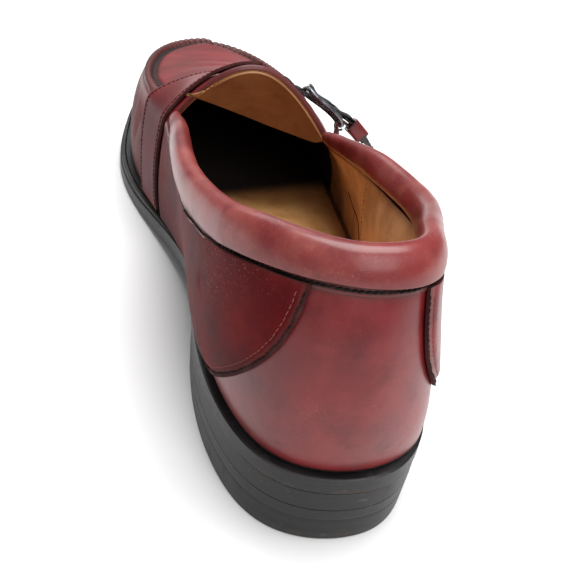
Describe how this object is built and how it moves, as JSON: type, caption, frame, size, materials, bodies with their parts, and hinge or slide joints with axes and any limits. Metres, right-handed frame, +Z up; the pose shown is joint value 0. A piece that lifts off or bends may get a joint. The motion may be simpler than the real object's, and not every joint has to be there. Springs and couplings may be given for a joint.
{
  "type": "loafer",
  "caption": "Right-foot leather loafer with a raised apron seam, padded collar, a braided strap buckled over the instep and a low stacked heel.",
  "frame": {"origin": "under the middle of the shoe's box, on the floor", "axes": "+Y from heel to toe, +X to the outer (lateral) side, +Z up"},
  "size_m": [0.1076, 0.3006, 0.089],
  "materials": {
    "burgundy_leather": "polished",
    "vamp_leather": "polished",
    "insole_leather": "matt",
    "black_braid": "satin",
    "gunmetal": "satin",
    "black_sole": "satin"
  },
  "bodies": {
    "root": {"upper": "vamp_leather", "quarter_inner": "burgundy_leather", "quarter_outer": "burgundy_leather", "collar": "burgundy_leather", "saddle_band": "burgundy_leather", "outsole": "black_sole", "welt": "black_sole", "heel_layer": "black_sole", "heel_block": "black_sole", "insole": "insole_leather", "braided_strap": "black_braid", "buckle_frame": "gunmetal", "buckle_prong": "gunmetal", "buckle_tab": "burgundy_leather", "keeper": "burgundy_leather"}
  },
  "joints": []
}
